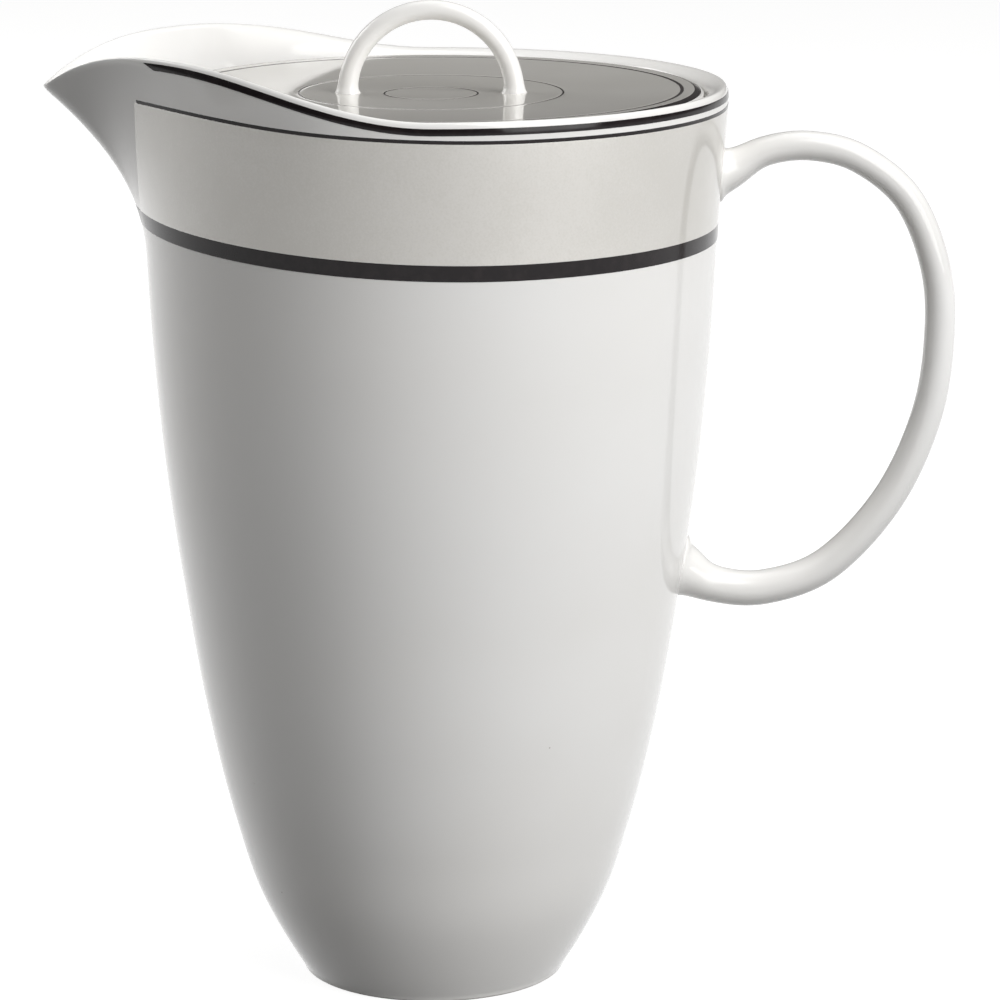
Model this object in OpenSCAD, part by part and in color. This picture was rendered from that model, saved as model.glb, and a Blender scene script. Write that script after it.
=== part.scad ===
// Tall bone china milk jug with a pouring lip, a looped handle and a lid that
// drops into the rim. The cast pieces are the body, the handle, the lid and the
// lid's loop. The pearl and black decoration is made as thin fired-on transfers,
// each following the china below it. Sizes are millimetres, the table is at
// height zero, the spout points to -X and the handle to +X.

/* [Body] */
// Height of the rim above the table
rim_h = 167; // [150:1:185]
// Outer radius at the rim
rim_r = 54; // [48:0.5:60]
// Thickness of the body's wall
wall = 2.6; // [2:0.1:3.2]
// Thickness of the floor
floor_t = 3; // [2.4:0.1:5]
// Width of the foot ring
foot_w = 3; // [2:0.1:5]
// Depth of the recess inside the foot ring
foot_recess = 2.2; // [1:0.1:4]
// Rounding of the foot ring's outer edge
foot_round = 0.8; // [0.4:0.1:1.2]
// Radius of the turn between the inside of the wall and the floor
inside_round = 9; // [5:0.5:12]

/* [Spout] */
// Distance from the rim's outer face out to the tip of the spout
spout_out = 15.8; // [12:0.1:20]
// Depth below the rim at which the spout starts to swell
spout_depth = 31; // [30:0.5:40]
// Height of the spout's wings above the rim
wing_h = 7.4; // [5:0.1:10]
// Drop of the spout's tip below the rim
tip_drop = 0.3; // [0:0.1:2]
// Radius of the spout's tip seen from above
tip_r = 8.6; // [7:0.1:10]
// Thickness of the china at the pouring edge
lip_t = 1.5; // [1.2:0.1:1.8]

/* [Lid seat] */
// Width of the rim, from its outer face to the recess that takes the lid
seat_rim_w = 4; // [3.6:0.1:5]
// Depth of the seat below the rim
seat_depth = 3.5; // [3:0.1:5]
// Width of the seat that the lid rests on
seat_w = 3.4; // [3:0.1:5]
// Thickness of the seat's nose
seat_t = 1.7; // [1.2:0.1:3]

/* [Lid] */
// Gap between the lid's edge and the recess
lid_gap = 0.5; // [0.3:0.1:0.8]
// Thickness of the lid at its edge
lid_edge_t = 2.2; // [1.8:0.1:2.8]
// Thickness of the lid at its middle
lid_t = 2.6; // [2:0.1:3.5]
// Depth of the shallow dish in the lid's top
lid_dish = 1.1; // [0.3:0.1:1.6]
// Fall of the lid's black band from its inner to its outer edge
lid_band_fall = 0.4; // [0:0.1:0.6]
// Rounding of the lid's top edge
lid_round = 0.45; // [0.2:0.05:0.5]
// Gap between the lid's skirt and the seat
skirt_gap = 0.6; // [0.4:0.1:1]
// Thickness of the lid's skirt
skirt_t = 2; // [1.5:0.1:3]
// Depth of the lid's skirt below the seat
skirt_depth = 7; // [4:0.1:9]

/* [Loop] */
// Radius of the loop's centre line
loop_r = 15.1; // [12:0.1:18]
// Radius of the loop's rod
loop_rod_r = 1.8; // [1.5:0.1:2.5]
// Spread of the loop's feet round the rod
loop_flare = 0.6; // [0.3:0.1:1]
// Height of the flared feet
loop_foot_h = 2; // [1:0.1:3]

/* [Handle] */
// Distance from the rim's outer face to the handle's centre line
handle_reach = 39.4; // [34:0.2:46]
// Depth of the highest point of the handle's centre line below the rim
handle_drop = 11.7; // [10:0.1:14]
// Rise of the handle's centre line from its lowest to its highest point
handle_rise = 82.7; // [78:0.2:84]
// Half thickness of the handle where it is thinnest
handle_half = 2.7; // [2.2:0.05:3.2]
// Half thickness of the handle near its lower end
handle_low_half = 3.4; // [2.8:0.05:4]
// Extra half thickness where the handle spreads onto the body
handle_flare = 0.9; // [0.5:0.1:1.2]
// Length over which the handle spreads onto the body
handle_flare_len = 4; // [2:0.2:6]

/* [Decoration] */
// Thickness of a fired-on transfer
transfer_t = 0.1; // [0.06:0.02:0.2]
// Depth of the shoulder band's lower edge below the rim
shoulder_depth = 27.85; // [26:0.05:29]
// Height of the shoulder band
shoulder_w = 2.85; // [1.5:0.05:4]
// Rise of the shoulder band towards the spout
shoulder_rise = 3.1; // [0:0.1:4.5]
// Depth of the pinstripe's middle below the rim
pin_depth = 3.55; // [3.4:0.05:4.4]
// Width of the pinstripe
pin_w = 0.65; // [0.4:0.05:0.8]
// Rise of the pinstripe towards the spout
pin_rise = 3.2; // [0:0.1:4]
// Depth of the rim band's upper edge below the rim
rim_band_depth = 1.05; // [1:0.05:1.4]
// Height of the rim band
rim_band_w = 1.2; // [0.8:0.1:1.4]
// Distance from the rim's outer face back to where the pearl ends at the spout
pearl_back = 1.5; // [0.9:0.1:1.6]
// Gap between the pearl and the handle's upper root
pearl_gap = 0.4; // [0.2:0.1:1]
// Width of the white edge left on the lid
lid_edge_w = 0.5; // [0.5:0.05:0.9]
// Width of the black band on the lid
lid_band_w = 1.2; // [0.8:0.1:2]
// Width of the pearl ring between the lid's band and its pinstripe
lid_ring_w = 1.95; // [1:0.05:3]
// Radius of the outer hairline ring on the lid
hairline_r = 24; // [20:0.5:30]
// Radius of the inner hairline ring on the lid
inner_hairline_r = 8.5; // [6:0.5:10]
// Width of the hairline rings on the lid
hairline_w = 0.35; // [0.3:0.05:0.6]

/* [Hidden] */
$fn = 96;
china = [0.93, 0.93, 0.92];
pearl = [0.80, 0.78, 0.74];
black = [0.12, 0.10, 0.11];

// Outline of the body: shares of rim_h against shares of rim_r, foot to rim
body_shares = [[0, 0.446], [0.036, 0.514], [0.09, 0.6], [0.18, 0.69], [0.3, 0.777], [0.44, 0.85],
               [0.58, 0.909], [0.72, 0.9475], [0.86, 0.971], [0.975, 0.997], [1, 1]];
// Handle's centre line: shares of handle_reach out from the rim's face against
// shares of handle_rise above handle_low, upper root to lower root
handle_shares = [[-0.2, 0.89], [-0.075, 0.927], [0.025, 0.951], [0.178, 0.989], [0.381, 1],
                 [0.609, 0.972], [0.838, 0.883], [0.97, 0.736], [1, 0.585], [0.949, 0.397],
                 [0.777, 0.206], [0.495, 0.055], [0.203, 0.001], [-0.04, 0.008],
                 [-0.2, 0.05], [-0.34, 0.12]];
// Half thickness along the handle: share of the way against the share that it
// has taken from handle_half to handle_low_half
handle_half_shares = [[0, 0], [0.4, 0.05], [0.6, 0.25], [0.75, 0.6], [0.9, 1], [1, 1]];
// Handle's width across its plane, as a share of its thickness in its plane
handle_width_share = 1.15;
// Part of the spout's reach at which its wings are highest
wing_share = 0.67;
// How fast the edge falls from the wings to the tip, and how the spout swells
wing_fall_power = 2.6;
swell_power = 2.1;
// Angle from the spout at which the spout's straight side has joined the rim
join_angle = 72;
// Angles from the spout: end of the lines' rise, start of the pinstripe, and
// start of the rim band along its lower and upper edge
rise_end_angle = 110;
pin_start_angle = 21.5;
band_low_angle = 27.6;
band_high_angle = 24.8;
// Angles from the spout between which the lid's seat begins
seat_start_angle = 38;
seat_full_angle = 48;
// How much nearer the edge the rim band runs on the spout's wings, and how much
// smaller the lip's rounding is there
wing_band_share = 0.35;
// Rounding of the lip as a share of its thickness
lip_round_share = 0.55;
// Rim's inside down to the seat: shares of the white slope's width out from the
// recess against shares of the seat's depth
slope_shares = [[0.45, 0.2], [0.12, 0.45], [0, 0.7], [0, 1]];
// Nose of the seat: shares of its thickness outwards and down
nose_shares = [[0.25, 0], [0, 0.25], [0, 0.75], [0.4, 1]];
// Heights of the rings below the seat, as shares of the way up to it
below_shares = [0.55, 0.25];
// Step by which the spout's lattice stands inside the round body's faces, all round
join_step = transfer_t / 4;
// Columns of the lattice in half a turn and under half the spout, and rings of it
// in the pearl band and between the pinstripe and the rim band
half_cols = 64;
spout_cols = 8;
pearl_steps = 7;
plain_steps = 3;
cols = 2 * half_cols;
// Points round the handle's section and along it, up the body's outline, across
// the lid's dish and round a quarter circle, and halvings in a search
handle_sides = 20;
handle_steps = 72;
outline_steps = 44;
dish_steps = 16;
arc_steps = 6;
solve_steps = 14;
// How much closer the outline's points lie towards the foot
step_power = 1.3;

base_h = rim_h - spout_depth;
join_outer_r = body_r(base_h) - join_step;
join_inner_r = inner_r(base_h) + join_step;
lip_round = lip_t * lip_round_share;
ridge_r = rim_r - lip_round;
spout_reach = rim_r + spout_out;
tip_centre = spout_reach - tip_r;
recess_r = rim_r - seat_rim_w;
side_r = recess_r + lip_t;
side_angle = acos((side_r - tip_r) / tip_centre);
tip_end_angle = atan2(tip_r * sin(side_angle), tip_centre + tip_r * cos(side_angle));
handle_low = rim_h - handle_drop - handle_rise;
seat_h = rim_h - seat_depth;
seat_r = recess_r - seat_w;
inside_h = foot_recess + floor_t;
foot_r = rim_r * body_shares[0][1];
lid_r = recess_r - lid_gap;
lid_edge_h = seat_h + lid_edge_t;
dish_r = lid_r - lid_edge_w;
lid_mid_h = lid_edge_h + lid_band_fall - lid_dish;
skirt_r = seat_r - skirt_gap;
under_h = lid_mid_h - lid_t;
lid_band_r = dish_r - lid_band_w;
lid_pin_r = lid_band_r - lid_ring_w;
pearl_end = rim_r - pearl_back;
overrun = wall;

// Cubic curve through a list of [x, y] points
function span(list, x, i = 0) = i >= len(list) - 2 || x < list[i + 1][0] ? i : span(list, x, i + 1);
function secant(list, i) = (list[i + 1][1] - list[i][1]) / (list[i + 1][0] - list[i][0]);
function tangent(list, i) = i == 0 ? secant(list, 0)
    : i == len(list) - 1 ? secant(list, i - 1)
    : let (a = list[i][0] - list[i - 1][0], b = list[i + 1][0] - list[i][0])
      (b * secant(list, i - 1) + a * secant(list, i)) / (a + b);
function curve(list, x) =
    let (i = span(list, x), w = list[i + 1][0] - list[i][0], t = (x - list[i][0]) / w)
    (2 * t * t * t - 3 * t * t + 1) * list[i][1] + (t * t * t - 2 * t * t + t) * w * tangent(list, i)
    + (3 * t * t - 2 * t * t * t) * list[i + 1][1] + (t * t * t - t * t) * w * tangent(list, i + 1);
function smooth(t) = let (u = min(1, max(0, t))) u * u * (3 - 2 * u);
function mix(a, b, t) = a + (b - a) * t;

// Body of revolution: outer radius at a height, and its slope
function body_r(h) = rim_r * curve(body_shares, min(h, rim_h) / rim_h);
function body_slope(h) = (body_r(h + wall) - body_r(h - wall)) / (2 * wall);
function inner_r(h) = body_r(h) - wall * sqrt(1 + pow(body_slope(max(h, wall)), 2));

// Rim seen from above: distance from the axis at an angle from the spout
function plan_r(a) =
    a < tip_end_angle ? tip_centre * cos(a) + sqrt(tip_r * tip_r - pow(tip_centre * sin(a), 2))
    : a < side_angle ? side_r / cos(a - side_angle)
    : mix(side_r, ridge_r, smooth((a - side_angle) / (join_angle - side_angle)));
// Height of the rim's edge, level round the body and raised at the spout's wings
function edge_h(a) =
    let (forward = plan_r(a) * cos(a), top = wing_share * spout_reach)
    forward > top
        ? rim_h + wing_h - (wing_h + tip_drop) * pow((forward - top) / (spout_reach - top), wing_fall_power)
        : rim_h + wing_h * (1 - cos(180 * max(0, forward) / top)) / 2;
// Outer surface above base_h, where the spout swells out of the round body
function outer_r(a, h) =
    let (t = max(0, (h - base_h) / (edge_h(a) - base_h)))
    body_r(h) + (plan_r(a) - ridge_r) * pow(t, swell_power);
function outer_slope(a, h) = (outer_r(a, h) - outer_r(a, h - wall)) / wall;

// How far the painted lines have risen towards the spout, from 0 to 1
function rise(a) = a < rise_end_angle ? pow(cos(90 * a / rise_end_angle), 2) : 0;
// How much of the rim band's depth and of the lip's rounding is left at an angle
function edge_scale(a) = 1 - wing_band_share * rise(a);

// Heights of the outer rings at an angle, each painted line lying on a ring
function line_heights(a) =
    let (low = rim_h - shoulder_depth + shoulder_rise * rise(a), high = low + shoulder_w,
         pin = rim_h - pin_depth + pin_rise * rise(a),
         rim_high = edge_h(a) - rim_band_depth * edge_scale(a),
         rim_low = rim_high - rim_band_w)
    concat([base_h, low, high],
           [for (i = [1 : pearl_steps - 1]) mix(high, pin - pin_w / 2, i / pearl_steps)],
           [pin - pin_w / 2, pin + pin_w / 2],
           [for (i = [1 : plain_steps - 1]) mix(pin + pin_w / 2, rim_low, i / plain_steps)],
           [rim_low, rim_high]);
// Under the spout, ahead of the pinstripe's end, the rings between the shoulder
// band and the rim band keep the shares that they have at that end
function ring_h(a, k) =
    a >= pin_start_angle || k <= ring_shoulder_top || k >= ring_rim_low ? line_heights(a)[k]
    : let (here = line_heights(a), end = line_heights(pin_start_angle), low = end[ring_shoulder_top],
           share = (end[k] - low) / (end[ring_rim_low] - low))
      mix(here[ring_shoulder_top], here[ring_rim_low], share);

// Numbers of the rings
ring_shoulder_low = 1;
ring_shoulder_top = 2;
ring_pin_low = ring_shoulder_top + pearl_steps;
ring_pin_high = ring_pin_low + 1;
ring_rim_low = ring_pin_high + plain_steps;
ring_rim_high = ring_rim_low + 1;

// Angle from the spout at which a pearl ring meets the plane pearl_end
function end_angle(k, lo, hi, n) = n == 0 ? (lo + hi) / 2
    : let (a = (lo + hi) / 2)
      outer_r(a, ring_h(a, k)) * cos(a) > pearl_end ? end_angle(k, a, hi, n - 1)
                                                    : end_angle(k, lo, a, n - 1);
end_angles = [for (k = [0 : ring_rim_high])
    k == ring_rim_high ? band_high_angle
    : k > ring_pin_high ? mix(pin_start_angle, band_low_angle, (k - ring_pin_high) / plain_steps)
    : k >= ring_pin_low ? pin_start_angle
    : end_angle(max(k, ring_shoulder_top), 0, pin_start_angle, solve_steps)];

// Angle of a column, which bends so that column spout_cols is each transfer's end
function col_angle(j, end) =
    let (i = j <= half_cols ? j : cols - j)
    i <= spout_cols ? end * i / spout_cols
                    : mix(end, 180, (i - spout_cols) / (half_cols - spout_cols));
function side(j) = j <= half_cols ? -1 : 1;
function at(j, a, r, h) = [-r * cos(a), side(j) * r * sin(a), h];

// Lattice of the outer surface
function outer_point(j, k, extra = 0) =
    let (a = col_angle(j, end_angles[k]), h = ring_h(a, k))
    at(j, a, k == 0 ? join_outer_r : outer_r(a, h) + extra, h);

// Rounded lip: angles round its quarter circle
lip_angles = [0, 45, 90];
function lip_point(j, b) =
    let (a = col_angle(j, band_high_angle), top = edge_h(a), round = lip_round * edge_scale(a),
         down = round * (1 - sin(b)))
    at(j, a, outer_r(a, top) - round * (1 - cos(b)) - outer_slope(a, top) * down, top - down);

// Inside of the rim: recess and seat for the lid, as [radius, height]
seat_foot_h = seat_h - seat_t - seat_w;
seat_section = concat(
    [for (p = slope_shares) [mix(recess_r, ridge_r - lip_round, p[0]), rim_h - seat_depth * p[1]]],
    [for (p = nose_shares) [seat_r + seat_t * p[0], seat_h - seat_t * p[1]]],
    [[inner_r(seat_foot_h), seat_foot_h]],
    [for (p = below_shares) let (h = mix(base_h, seat_h, p)) [inner_r(h), h]],
    [[inner_r(base_h), base_h]]);
inner_rings = len(seat_section);
function spout_inner(a, i) =
    let (t = i / (inner_rings - 1), h = mix(edge_h(a) - lip_round, base_h, t),
         thick = mix(lip_t, wall, min(1, 2 * t)))
    [outer_r(a, h) - thick * sqrt(1 + pow(outer_slope(a, h), 2)), h];
function inner_point(j, i) =
    let (a = col_angle(j, mix(band_high_angle, end_angles[0], i / (inner_rings - 1))),
         s = smooth((a - seat_start_angle) / (seat_full_angle - seat_start_angle)),
         open = spout_inner(a, i), seat = seat_section[i], lift = i == 0 ? edge_h(a) - rim_h : 0)
    at(j, a, i == inner_rings - 1 ? join_inner_r : mix(open[0], seat[0], s),
       mix(open[1], seat[1] + lift, s));

// Tongue that stands inside the top of the round body, from its outer face to its inner
tongue_section = [[join_inner_r + wall / 4, base_h - wall / 2],
                  [join_outer_r - wall / 4, base_h - wall / 2]];

// Faces of a lattice that closes on itself round the axis
function ring_faces(rings) = [for (k = [0 : rings - 1], j = [0 : cols - 1])
    let (n = (j + 1) % cols, a = k * cols, b = ((k + 1) % rings) * cols)
    each [[a + j, b + j, b + n], [a + j, b + n, a + n]]];

module upper_body() {
    points = concat(
        [for (k = [0 : ring_rim_high], j = [0 : cols - 1]) outer_point(j, k)],
        [for (b = lip_angles, j = [0 : cols - 1]) lip_point(j, b)],
        [for (i = [0 : inner_rings - 1], j = [0 : cols - 1]) inner_point(j, i)],
        [for (p = tongue_section, j = [0 : cols - 1]) at(j, col_angle(j, end_angles[0]), p[0], p[1])]);
    polyhedron(points, ring_faces(len(points) / cols), convexity = 6);
}

// Patch of the outer lattice between two rings, from a first column to its mirror
module transfer(low, high, first) {
    across = first == 0 ? cols : cols - 2 * first + 1;
    rows = high - low + 1;
    count = rows * across;
    points = concat(
        [for (k = [low : high], i = [0 : across - 1]) outer_point((first + i) % cols, k)],
        [for (k = [low : high], i = [0 : across - 1]) outer_point((first + i) % cols, k, transfer_t)]);
    closed = first == 0;
    last = closed ? across - 1 : across - 2;
    skin = [for (k = [0 : rows - 2], i = [0 : last])
        let (n = (i + 1) % across, a = k * across, b = a + across)
        each [[a + i, b + n, b + i], [a + i, a + n, b + n],
              [count + a + i, count + b + i, count + b + n],
              [count + a + i, count + b + n, count + a + n]]];
    rims = [for (i = [0 : last])
        let (n = (i + 1) % across, b = (rows - 1) * across)
        each [[i, count + i, count + n], [i, count + n, n],
              [b + i, count + b + n, count + b + i], [b + i, b + n, count + b + n]]];
    ends = closed ? [] : [for (k = [0 : rows - 2])
        let (a = k * across, b = a + across, c = a + across - 1, d = b + across - 1)
        each [[a, b, count + b], [a, count + b, count + a],
              [c, count + d, d], [c, count + c, count + d]]];
    polyhedron(points, concat(skin, rims, ends), convexity = 6);
}

// Outer outline of the round body from the foot ring's rounding up to a height
function outside(top_h, steps) = [for (i = [0 : steps])
    let (h = mix(foot_round, top_h, pow(i / steps, step_power))) [body_r(h), h]];

// Half section of the body below base_h
module lower_body() {
    turn = atan(body_slope(inside_h + inside_round / 2));
    turn_h = inside_h + inside_round * (1 - sin(turn));
    turn_r = inner_r(turn_h) - inside_round * cos(turn);
    inside = [for (i = [outline_steps : -1 : 0])
        let (h = mix(turn_h, base_h, pow(i / outline_steps, step_power))) [inner_r(h), h]];
    corner = [for (i = [1 : arc_steps])
        let (b = mix(turn, 90, i / arc_steps))
        [turn_r + inside_round * cos(b), inside_h + inside_round * (1 - sin(b))]];
    edge = [for (i = [0 : arc_steps])
        let (b = 90 * i / arc_steps)
        [body_r(foot_round) - foot_round * (1 - sin(b)), foot_round * (1 - cos(b))]];
    rotate_extrude()
        polygon(concat([[0, foot_recess], [foot_r - foot_w, foot_recess], [foot_r - foot_w, 0]],
                       edge, outside(base_h, outline_steps), inside, corner, [[0, inside_h]]));
}

module jug_body() color(china) {
    lower_body();
    upper_body();
}

// Everything inside the body's outer surface, for fitting the handle to it
module body_core() {
    rotate_extrude()
        polygon(concat([[0, 0], [foot_r, 0]], outside(base_h, outline_steps),
                       [[body_r(rim_h), rim_h], [0, rim_h]]));
}

// Handle: centre line, direction and half thickness at a share of the way
handle_ends = len(handle_shares) - 1;
function handle_at(t, n) = curve([for (i = [0 : handle_ends]) [i / handle_ends, handle_shares[i][n]]], t);
function handle_mid(t) =
    [rim_r + handle_reach * handle_at(t, 0), 0, handle_low + handle_rise * handle_at(t, 1)];
function handle_dir(t) =
    let (d = handle_mid(min(1, t + 1 / handle_steps)) - handle_mid(max(0, t - 1 / handle_steps)))
    d / norm(d);
// Share of the way at which the centre line comes out of the wall
function root_t(t = 0) =
    let (p = handle_mid(t)) p[0] > body_r(p[2]) ? t : root_t(t + 1 / (handle_steps * handle_steps));
function root_gap(t) = let (p = handle_mid(t)) max(0, p[0] - body_r(p[2]));
function handle_half_at(t) = mix(handle_half, handle_low_half, curve(handle_half_shares, t))
    + handle_flare * exp(-pow(root_gap(t) / handle_flare_len, 2));
function handle_ring(t) =
    let (p = handle_mid(t), d = handle_dir(t), half = handle_half_at(t), up = [-d[2], 0, d[0]])
    [for (i = [0 : handle_sides - 1])
        let (b = 360 * i / handle_sides)
        p + up * half * cos(b) + [0, 1, 0] * half * handle_width_share * sin(b)];

module handle_rod() {
    points = [for (s = [0 : handle_steps]) each handle_ring(s / handle_steps)];
    tube = [for (s = [0 : handle_steps - 1], i = [0 : handle_sides - 1])
        let (n = (i + 1) % handle_sides, a = s * handle_sides, b = a + handle_sides)
        each [[a + i, b + i, b + n], [a + i, b + n, a + n]]];
    caps = [[for (i = [0 : handle_sides - 1]) i],
            [for (i = [handle_sides - 1 : -1 : 0]) handle_steps * handle_sides + i]];
    polyhedron(points, concat(tube, caps), convexity = 6);
}

module jug_handle() color(china)
    difference() {
        handle_rod();
        body_core();
    }

// The pearl stops short of the handle's upper root
module pearl_band() color(pearl)
    difference() {
        transfer(ring_shoulder_top, ring_pin_low, spout_cols);
        translate([ridge_r, 0, handle_mid(root_t())[2]])
            rotate([0, 90, 0])
                cylinder(r = (handle_half + handle_flare) * handle_width_share + pearl_gap,
                         h = 2 * overrun, center = true);
    }

module shoulder_band() color(black) transfer(ring_shoulder_low, ring_shoulder_top, 0);
module pinstripe() color(black) transfer(ring_pin_low, ring_pin_high, spout_cols);
module rim_band() color(black) transfer(ring_rim_low, ring_rim_high, spout_cols);

// Height of the lid's top at a radius: dished up to the band, which slopes down to the edge
function lid_top(r) = lid_mid_h + lid_dish * pow(min(r, lid_band_r) / lid_band_r, 2)
    - lid_band_fall * max(0, r - lid_band_r) / lid_band_w;

// Radii at which one transfer on the lid ends and the next begins
lid_edges = [0, inner_hairline_r - hairline_w / 2, inner_hairline_r + hairline_w / 2,
             hairline_r - hairline_w / 2, hairline_r + hairline_w / 2,
             lid_pin_r - pin_w, lid_pin_r, lid_band_r, dish_r];
// Numbers of the lid's transfers, from its middle out
middle_pearl = 0;
inner_hairline = 1;
loop_pearl = 2;
outer_hairline = 3;
dish_pearl = 4;
ring_pinstripe = 5;
ring_pearl = 6;
ring_band = 7;
// Radii of the points along the dish, which the china and the transfers on it share
dish_radii = [each [for (n = [0 : len(lid_edges) - 2])
    let (from = lid_edges[n], to = lid_edges[n + 1], steps = ceil(dish_steps * (to - from) / dish_r))
    each [for (i = [0 : steps - 1]) mix(from, to, i / steps)]], dish_r];
function dish_line(from, to, lift = 0) =
    [for (r = dish_radii) if (r >= from && r <= to) [r, lid_top(r) + lift]];
function reversed(list) = [for (i = [len(list) - 1 : -1 : 0]) list[i]];

module lid_china() {
    edge = [for (i = [0 : arc_steps])
        let (b = 90 * i / arc_steps)
        [lid_r - lid_round * (1 - sin(b)), lid_edge_h - lid_round * (1 - cos(b))]];
    rotate_extrude()
        polygon(concat(dish_line(0, dish_r), edge,
                       [[lid_r, seat_h + lid_round], [lid_r - lid_round, seat_h],
                        [skirt_r, seat_h], [skirt_r, seat_h - skirt_depth],
                        [skirt_r - skirt_t, seat_h - skirt_depth], [skirt_r - skirt_t, under_h],
                        [0, under_h]]));
}

module lid() color(china) lid_china();

// Arched rod with two flared feet that stand in the lid's dish
module lid_loop() color(china)
    difference() {
        union() {
            translate([0, 0, lid_top(loop_r)])
                rotate([90, 0, 0])
                    rotate_extrude(angle = 180)
                        translate([loop_r, 0])
                            circle(r = loop_rod_r);
            for (s = [-1, 1])
                translate([s * loop_r, 0, 0])
                    loop_foot();
        }
        lid_china();
    }

module loop_foot() {
    top = lid_top(loop_r) + loop_foot_h;
    rotate_extrude()
        polygon(concat([[0, lid_mid_h], [loop_rod_r + loop_flare, lid_mid_h]],
                       [for (i = [0 : arc_steps])
                           let (b = 90 * i / arc_steps)
                           [loop_rod_r + loop_flare * (1 - sin(b)),
                            mix(lid_top(loop_r), top, 1 - cos(b))]],
                       [[0, top]]));
}

// Transfer on the lid, from one of its edges to the next
module lid_transfer(n)
    let (from = lid_edges[n], to = lid_edges[n + 1])
    rotate_extrude()
        polygon(concat(dish_line(from, to), reversed(dish_line(from, to, transfer_t))));

// Pearl lies between the black rings, and is left out round the loop's feet
module lid_pearl() color(pearl) {
    for (n = [middle_pearl, dish_pearl, ring_pearl])
        lid_transfer(n);
    difference() {
        lid_transfer(loop_pearl);
        for (s = [-1, 1])
            translate([s * loop_r, 0, lid_mid_h - overrun])
                cylinder(r = loop_rod_r + loop_flare + pearl_gap, h = 2 * overrun);
    }
}

module lid_band() color(black) lid_transfer(ring_band);
module lid_pinstripe() color(black) lid_transfer(ring_pinstripe);
module lid_hairlines() color(black)
    for (n = [inner_hairline, outer_hairline])
        lid_transfer(n);

jug_body();
jug_handle();
pearl_band();
shoulder_band();
pinstripe();
rim_band();
lid();
lid_loop();
lid_pearl();
lid_band();
lid_pinstripe();
lid_hairlines();
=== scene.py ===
import math

import bpy
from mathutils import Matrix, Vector


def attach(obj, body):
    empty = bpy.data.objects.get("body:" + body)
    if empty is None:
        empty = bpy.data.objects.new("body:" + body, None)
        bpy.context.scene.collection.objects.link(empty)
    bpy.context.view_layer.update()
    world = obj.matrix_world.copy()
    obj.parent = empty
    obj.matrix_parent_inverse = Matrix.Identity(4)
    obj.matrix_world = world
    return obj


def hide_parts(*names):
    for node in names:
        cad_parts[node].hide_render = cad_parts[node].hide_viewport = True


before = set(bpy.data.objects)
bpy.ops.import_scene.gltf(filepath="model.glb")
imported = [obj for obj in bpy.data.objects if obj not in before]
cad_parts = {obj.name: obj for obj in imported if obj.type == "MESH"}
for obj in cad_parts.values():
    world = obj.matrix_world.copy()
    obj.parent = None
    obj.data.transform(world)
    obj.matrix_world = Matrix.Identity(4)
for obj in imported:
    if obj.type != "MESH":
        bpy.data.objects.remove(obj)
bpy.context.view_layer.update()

# The camera stands where the photograph was taken: 0.81 m in front of the jug, at
# one and a half times its height, with a long lens that looks down on the lid.
camera_lens = 161.39
camera_sensor = 36
camera_y = -0.8101
camera_z = 0.27166
camera_down = 12.683
camera_turn = 0.885

camera_data = bpy.data.cameras.new("camera")
camera_data.lens = camera_lens
camera_data.sensor_width = camera_sensor
camera = bpy.data.objects.new("camera", camera_data)
camera.location = (0, camera_y, camera_z)
camera.rotation_euler = (math.radians(90 - camera_down), 0, math.radians(-camera_turn))
bpy.context.scene.collection.objects.link(camera)
bpy.context.scene.camera = camera

# Jug body: one slip-cast piece of bone china with its spout drawn out of the rim, a
# seat inside the rim for the lid, and a foot ring wiped bare before the glaze firing.
# Sizes are millimetres, with the spout towards -X, as the frame has them.
mm = 0.001
rim_h = 167
rim_r = 54
wall = 2.6
floor_t = 3
foot_w = 3
foot_recess = 2.2
foot_round = 0.8
foot_inner_round = 0.6
inside_round = 9
row_crowding = 1.3
inside_crowding = 1.5
spout_out = 15.8
spout_depth = 31
wing_h = 7.4
tip_drop = 0.3
tip_r = 8.6
lip_t = 1.5
lip_round = 0.9
lip_roll_h = 2.4
wing_band_share = 0.35
rise_end_angle = 110
seat_rim_w = 4
seat_depth = 3.5
seat_w = 3.4
seat_t = 1.7

# Shares of rim_h against shares of rim_r, from the foot to the rim
body_shares = [(0, 0.446), (0.036, 0.514), (0.09, 0.6), (0.18, 0.69), (0.3, 0.777), (0.44, 0.85),
               (0.58, 0.909), (0.72, 0.9475), (0.86, 0.971), (0.975, 0.997), (1, 1)]
wing_share = 0.67
wing_fall_power = 2.6
swell_power = 2.1
slope_power = 4.6
join_angle = 72
seat_start_angle = 38
seat_full_angle = 48

base_h = rim_h - spout_depth
spout_reach = rim_r + spout_out
tip_centre = spout_reach - tip_r
ridge_r = rim_r - lip_round
recess_r = rim_r - seat_rim_w
side_r = recess_r + lip_t
side_angle = math.degrees(math.acos((side_r - tip_r) / tip_centre))
tip_end_angle = math.degrees(math.atan2(tip_r * math.sin(math.radians(side_angle)),
                                        tip_centre + tip_r * math.cos(math.radians(side_angle))))
seat_h = rim_h - seat_depth
seat_r = recess_r - seat_w
seat_foot_h = seat_h - seat_t - seat_w
inside_h = foot_recess + floor_t
foot_inner_r = rim_r * body_shares[0][1] - foot_w


def mix(a, b, t):
    return a + (b - a) * t


def clamp(t):
    return min(1, max(0, t))


def smooth(t):
    return clamp(t) ** 2 * (3 - 2 * clamp(t))


def steps(count):
    return [i / count for i in range(count + 1)]


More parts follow.
